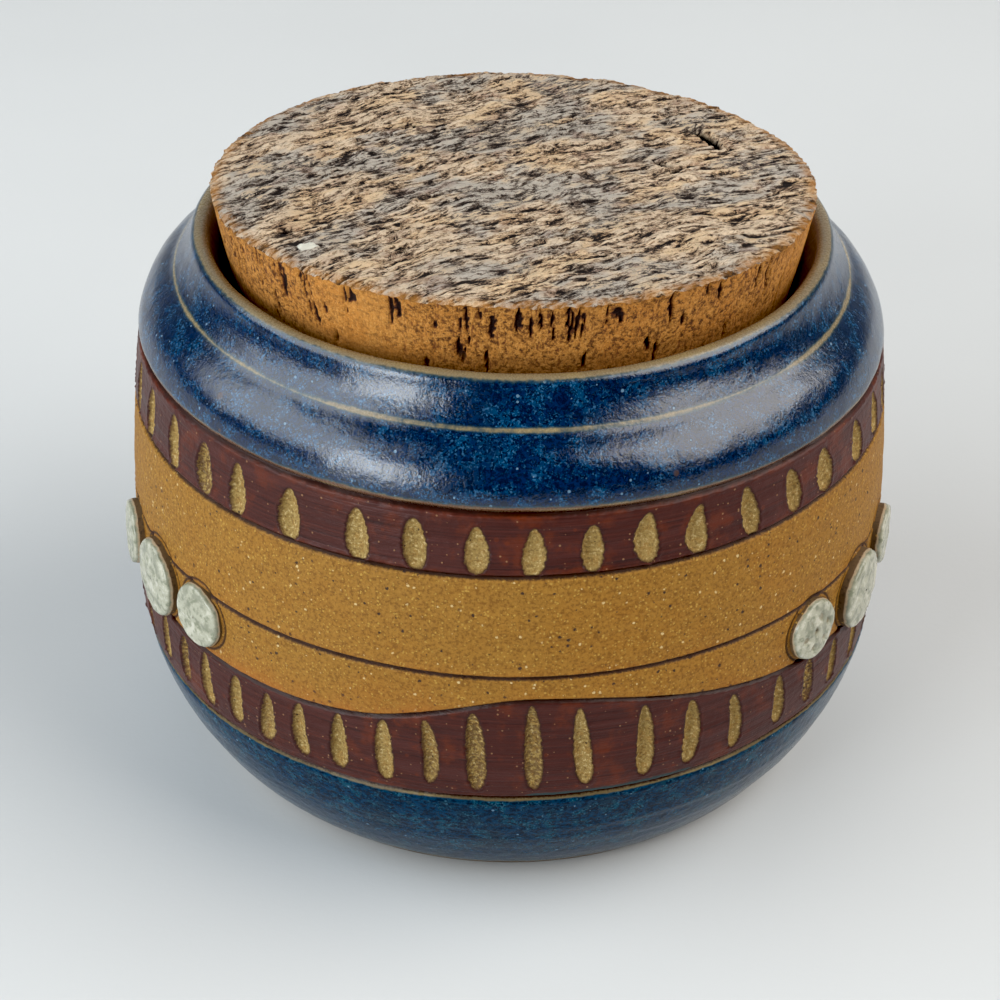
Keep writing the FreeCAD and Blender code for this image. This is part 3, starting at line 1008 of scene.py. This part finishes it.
def chip_share(x, y):
    p, q = x - CHIP[0], y - CHIP[1]
    p, q = p * CHIP_COS + q * CHIP_SIN, -p * CHIP_SIN + q * CHIP_COS
    return smooth(1.15, 0.85, np.maximum(np.abs(p) / CHIP[2], np.abs(q) / CHIP[3])
                  + 0.2 * chatter(x, y, 50.0))


def bark_relief(x, y):
    """Relief of the bark, its height for the shading, and its cracks and chip from 0 to 1."""
    u, v = grain_lines(x, y)

    def ridged(a, b, seed):
        return 1 - 2 * np.abs(chatter(a, b, seed))
    coarse = ridged(u / 8.0, v / 1.9, 1.0) - 0.45
    middle = ridged(u / 4.2, v / 0.95, 5.0) - 0.45
    fine = chatter.layered(u / 1.8, v / 0.6, 9.0)
    hills = hand.layered(x / 15, y / 15, 8.0)
    flakes = np.clip(chatter(u / 6, v / 3, 14.0) + 0.1, 0, 1)
    calm = 0.75 + 0.5 * hand(x / 12, y / 12, 30.0)
    raised = (0.42 * coarse + 0.34 * middle + 0.22 * fine + 0.5 * flakes) * calm + 0.55 * hills
    shade = coarse * 0.8 + middle * 0.7 + fine * 0.5 + 0.5 * flakes
    crack = np.zeros_like(x)
    for depth, hole in crack_holes(x, y):
        raised = raised - depth * hole
        crack = np.maximum(crack, hole)
    chip = chip_share(x, y)
    raised = raised + 0.55 * chip
    return raised - 0.25, shade, crack, chip


def concentric(count):
    """Points of a unit disc from a square grid, and the grid's quads."""
    side = np.linspace(-1, 1, count + 1)
    a, b = np.meshgrid(side, side)
    wide = np.abs(a) > np.abs(b)
    with np.errstate(divide="ignore", invalid="ignore"):
        angle = np.where(wide, np.pi / 4 * b / a, np.pi / 2 - np.pi / 4 * a / b)
    size = np.where(wide, a, b)
    angle = np.nan_to_num(angle)
    x, y = size * np.cos(angle), size * np.sin(angle)
    r, c = np.meshgrid(np.arange(count), np.arange(count), indexing="ij")
    w = count + 1
    quads = np.stack([r * w + c, r * w + c + 1, (r + 1) * w + c + 1, (r + 1) * w + c], -1)
    return x.ravel(), y.ravel(), quads.reshape(-1, 4)


def cork_height(x, y):
    """Height of the bark face, with its edge worn round."""
    azimuth = np.degrees(np.arctan2(x, -y))
    edge, _ = cork_edge(azimuth)
    inward = edge - np.hypot(x, y)
    raised, shade, crack, chip = bark_relief(x, y)
    calm = 0.55 + 0.45 * smooth(0, 2.5, inward)
    torn = 0.35 * around(azimuth, 0.02, 60.0, chatter)
    worn = (0.55 + torn) * np.exp(-np.clip(inward, 0, None) / 0.55)
    height = CORK_TOP_Z - y * CORK_SLOPE + raised * calm - worn
    return height, {"relief": shade, "crack": crack, "chip": chip, "edge": inward}


def cork_face():
    x, y, quads = concentric(CORK_CELLS)
    azimuth = np.degrees(np.arctan2(x, -y))
    edge, _ = cork_edge(azimuth)
    x, y = x * edge, y * edge
    height, values = cork_height(x, y)
    values["along"], values["across"] = grain_lines(x, y)
    return surface("cork_bark", np.stack([x, y, height], -1), quads, bark, values)


PORES = (                      # the largest: azimuth, depth of the upper end, length, half width, lean
    (-46, 0.0, 7.5, 0.42, 0.10), (-49, 6.0, 4.5, 0.4, 0.1), (-40, 1.0, 4.0, 0.75, -0.2),
    (-38, 5.0, 4.6, 0.5, 0.1), (-29, 0.6, 2.6, 0.9, 0.0), (-3, 1.6, 4.6, 0.65, 0.0),
    (11, 1.0, 6.2, 0.4, -0.1), (19, 1.0, 2.0, 1.0, 0.0), (14, 8.5, 3.2, 0.6, -0.2),
    (-9, 6.5, 3.4, 0.6, 0.0), (55, 2.2, 5.2, 0.28, -0.15),
)
SMALL_PORES = 190


def pores():
    """All the dark upright pores of the cork's side."""
    rng = np.random.default_rng(77)
    out = []
    for _ in range(SMALL_PORES):
        at_top = rng.random() < 0.5
        size = rng.uniform(2.0, 6.0) if at_top else rng.uniform(1.2, 4.2)
        top = rng.uniform(-0.5, 1.0) if at_top else rng.uniform(1.5, 13.0)
        out.append((rng.uniform(-180, 180), top, size, rng.uniform(0.20, 0.50), rng.normal(0, 0.09)))
    return out + list(PORES)


def pore_holes(azimuth, radius, depth):
    """Where the pores are open, from 0 to 1, at points of the cork's side."""
    pit = np.zeros_like(depth)
    for at, start, size, width, lean in pores():
        across = np.radians(wrap(azimuth - at)) * radius - lean * (depth - start)
        near = np.abs(across[0]) < 4
        p = across[:, near]
        q = (depth[:, near] - start) / size
        torn = 0.95 * chatter.layered(p * 0.9, depth[:, near] * 1.3, at)
        p = p + 0.55 * width * chatter(depth[:, near] * 0.9, at, 40.0)
        slim = np.clip(np.sin(np.pi * np.clip(q, 0, 1)), 0, 1) ** 0.7
        hole = smooth(1.3, 0.3, np.abs(p) / (width * (0.15 + 0.85 * slim) * (1 + torn)))
        hole = hole * smooth(-0.06, 0.06, q) * smooth(1.06, 0.94, q)
        pit[:, near] = np.maximum(pit[:, near], hole)
    return pit


def cork_wall():
    """The cork's side. Its columns are the edge points of the bark face."""
    azimuth = np.linspace(-180, 180, 4 * CORK_CELLS, endpoint=False)
    edge, ragged = cork_edge(azimuth)
    x, y = plan(azimuth, edge)
    top, _ = cork_height(x, -y)
    depth = np.concatenate([[CORK_DEEP], np.linspace(CORK_FINE, 0, CORK_ROWS)])
    azimuth, depth = np.meshgrid(azimuth, depth)
    height = top - depth * (top - CORK_LOW_Z) / CORK_DEEP
    depth = top - height
    radius = edge - ragged * smooth(0, 1.6, depth) - depth * CORK_TAPER
    x, y = plan(azimuth, radius)
    rugged = smooth(-0.35, 0.30, around(azimuth, 0.7, 5.0) + 0.55 * np.cos(np.radians(azimuth - 5)))
    crumb = chatter.layered(x / 1.1, y / 1.1, height / 1.1)
    raised = -0.16 * rugged * np.clip(crumb, 0, 1) + 0.12 * hand(x / 9, y / 9, height / 9)
    pit = pore_holes(azimuth, radius, depth)
    raised = (raised - 0.65 * pit) * smooth(0, 0.8, depth)
    below = smooth(8.5, 10.5, depth)
    return band("cork_side", azimuth, radius + raised, height, cork, {
        "pit": pit, "rugged": rugged, "below": below})


# ================ clay discs ================

DIMPLES = {"disc_right_1": 1.0, "disc_back_2": 0.7, "disc_right_2": 0.35, "disc_left_2": 0.35}
DIMPLE_REST = 0.18             # depth of the dimples on the other discs
DIMPLE_RING = 6                # dimples round the one in the middle


def disc_rows():
    """Rows from the face over the edge and down the side: their share of the radius, their
    drop over the edge and how far down the side they are."""
    face = np.linspace(0.03, 0.90, FACE_ROWS)
    bend = np.linspace(0.2, np.pi / 2, EDGE_ROWS)
    side = np.ones(SIDE_ROWS)
    shares = np.concatenate([face, 0.90 + 0.10 * np.sin(bend), side * 1.02])
    drop = np.concatenate([0 * face, 1 - np.cos(bend), side])
    low = np.concatenate([0 * face, 0 * bend, np.linspace(0.12, 1, SIDE_ROWS)])
    return shares, drop[:, None], low[:, None]


def dimples(u, v, size, seed, rng):
    """Where the face of a disc is dimpled, from 0 to 1."""
    pressed = np.zeros_like(u)
    spin = rng.uniform(0, 1)
    for i in range(DIMPLE_RING + 1):
        way = 2 * np.pi * (i + spin + rng.uniform(-0.2, 0.2)) / DIMPLE_RING
        far = 0.0 if i == DIMPLE_RING else rng.uniform(0.42, 0.60) * size
        hole = np.hypot(u - far * np.cos(way), v - far * np.sin(way))
        hole = hole / (rng.uniform(0.11, 0.19) * size) + 0.7 * chatter(u * 0.7, v * 0.7, seed + 9.0)
        pressed = np.maximum(pressed, rng.uniform(0.35, 1.0) * smooth(1.2, 0.2, hole))
    return pressed


def clay_disc(node, at, middle, size, seed):
    """A pressed pad of clay on the wall, glazed on its face, with stamped dimples."""
    rng = np.random.default_rng(seed)
    turns = np.linspace(0, 2 * np.pi, DISC_COLUMNS, endpoint=False)
    shares, drop, low = disc_rows()
    turns, shares = np.meshgrid(turns, shares)
    uneven = 1 + 0.035 * chatter(np.cos(turns) * 1.3, np.sin(turns) * 1.3, seed)
    reach = size * uneven * shares
    u, v = reach * np.cos(turns), reach * np.sin(turns)
    left = DISC_PRESSED if node.endswith("_1") else DISC_PROUD
    thick = DISC_THICKNESS * left + 0.12 * rng.uniform(-1, 1)
    tip = rng.uniform(-0.035, 0.035, 2)
    dome = 0.30 * (1 - shares ** 2) + tip[0] * u + tip[1] * v
    deep = DIMPLES.get(node, DIMPLE_REST)
    pressed = dimples(u, v, size, seed, rng)
    soft = 0.12 * chatter.layered(u / 1.9, v / 1.9, seed + 3.0)
    lift = thick + dome + soft - 0.6 * drop - 0.55 * deep * pressed
    lift = lift * (1 - low) - 0.35 * low
    azimuth = at + np.degrees(u / wall_radius(middle))
    height = middle + v
    radius = wall_radius(height) + lift
    drape = wall_slope(height)
    x, y = plan(azimuth, radius)
    points = np.stack([x, -y, height - 0.3 * lift * drape], -1)
    quads = band_faces(*height.shape)[:, ::-1]
    faced = smooth(0.55, 0.05, low) * (1 - 0.35 * drop) + 0 * u
    return surface("clay_" + node, points.reshape(-1, 3), quads, disc_pale,
                   {"face": faced.ravel(), "dimple": (pressed * deep).ravel()})


# ================ build ================

blue = blue_glaze("blue glaze", deep=(0.0006, 0.0060, 0.023), mid=(0.0008, 0.0155, 0.060),
                  pale=(0.050, 0.16, 0.30), teal=(0.0016, 0.044, 0.110), haze=(0.010, 0.024, 0.050),
                  thin_clay=(0.215, 0.162, 0.088), edge_clay=(0.120, 0.050, 0.021),
                  gloss=0.66, drag=1.0)
base_blue = blue_glaze("base glaze", deep=(0.0006, 0.0090, 0.026), mid=(0.0008, 0.031, 0.078),
                       pale=(0.040, 0.125, 0.190), teal=(0.0016, 0.050, 0.084),
                       haze=(0.012, 0.022, 0.024), thin_clay=(0.130, 0.092, 0.045),
                       edge_clay=(0.130, 0.092, 0.045), gloss=0.12, drag=1.6)
slip = band_slip()
field = field_clay()
foot_bare = foot_clay()
bark = bark_top()
cork = cork_side()
disc_pale = disc_glaze()

for make in (rim_glaze, upper_band, upper_field, lower_field, lower_band, base_glaze, foot):
    piece = make()
    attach(piece, "root")
    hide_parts("jar")
for make in (cork_face, cork_wall):
    piece = make()
    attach(piece, "root")
    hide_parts("cork_lid")
for number, (node, at, middle, size) in enumerate(DISCS):
    piece = clay_disc(node, at, middle, size, 100 + number)
    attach(piece, "root")
    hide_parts(node)


# ================ stage, light, camera ================

PAPER = (0.600, 0.612, 0.615)


def paper():
    m = Material("paper")
    shade = m.noise(160, 3, 0.5)
    colour = m.mix(shade.step(0.35, 0.7) * 0.5, PAPER, tuple(c * 0.94 for c in PAPER))
    return m.finish(colour, 0.9, m.bump(m.noise(1.2, 2), 0.05, 0.4))


def backdrop():
    """A pale sheet that lies under the jar and curves up behind it."""
    line = run(np.concatenate([[(-1500.0, 0.0), (900.0, 0.0)],
                               arc_points((900, 0), (1324, 176), (1500, 600), 24), [(1500, 2600)]]), 25)
    across = np.array([-3000.0, 3000.0])
    x, depth = np.meshgrid(across, line[:, 0])
    _, height = np.meshgrid(across, line[:, 1])
    points = np.stack([x, depth, height], -1).reshape(-1, 3)
    quads = np.array([[2 * i, 2 * i + 1, 2 * i + 3, 2 * i + 2] for i in range(len(line) - 1)])
    surface("backdrop", points, quads, paper())


def window(name, azimuth, elevation, far, wide, tall, power, colour=(1, 1, 1)):
    """A soft rectangular light that faces the jar."""
    data = bpy.data.lights.new(name, "AREA")
    data.shape = "RECTANGLE"
    data.size, data.size_y = wide, tall
    data.energy, data.color = power, colour
    lamp = bpy.data.objects.new(name, data)
    a, e = math.radians(azimuth), math.radians(elevation)
    way = Vector((math.sin(a) * math.cos(e), -math.cos(a) * math.cos(e), math.sin(e)))
    aim = Vector((0, 0, 0.06))
    lamp.location = aim + way * far
    lamp.rotation_euler = (aim - lamp.location).to_track_quat("-Z", "Y").to_euler()
    bpy.context.scene.collection.objects.link(lamp)


def camera():
    place = Vector((1.06, -377.1, 285.3)) * MM
    yaw, pitch, roll = math.radians(0.37), math.radians(32.97), math.radians(-0.95)
    right = Vector((math.cos(yaw), math.sin(yaw), 0))
    level = Vector((-math.sin(yaw), math.cos(yaw), 0))
    forward = level * math.cos(pitch) - Vector((0, 0, math.sin(pitch)))
    above = level * math.sin(pitch) + Vector((0, 0, math.cos(pitch)))
    side = right * math.cos(roll) - above * math.sin(roll)
    top = right * math.sin(roll) + above * math.cos(roll)
    data = bpy.data.cameras.new("camera")
    data.sensor_width, data.lens = 36.0, 91.37
    data.clip_start, data.clip_end = 0.01, 20.0
    eye = bpy.data.objects.new("camera", data)
    eye.matrix_world = Matrix(((side.x, top.x, -forward.x, place.x),
                               (side.y, top.y, -forward.y, place.y),
                               (side.z, top.z, -forward.z, place.z), (0, 0, 0, 1)))
    bpy.context.scene.collection.objects.link(eye)
    bpy.context.scene.camera = eye


SKY = (0.90, 0.962, 1.0)
SUN = (1.0, 0.972, 0.93)
AIR = (0.93, 0.96, 1.0, 1.0)

backdrop()
window("left window", -38, 16, 1.1, 0.40, 0.56, 7.0, SKY)
window("left sheer", -76, 34, 1.1, 1.1, 0.80, 10.4, SKY)
window("right window", 80, 42, 1.2, 1.35, 0.90, 17.8, SUN)
window("back light", 178, 64, 1.5, 1.3, 1.0, 3.4)
world = bpy.data.worlds.new("room")
world.use_nodes = True
sky = world.node_tree.nodes["Background"]
sky.inputs["Color"].default_value = AIR
sky.inputs["Strength"].default_value = 0.100
bpy.context.scene.world = world
view = bpy.context.scene.view_settings
view.view_transform = "Standard"
view.use_curve_mapping = True
view.curve_mapping.black_level = (0.011, 0.010, 0.009)
view.curve_mapping.update()
camera()
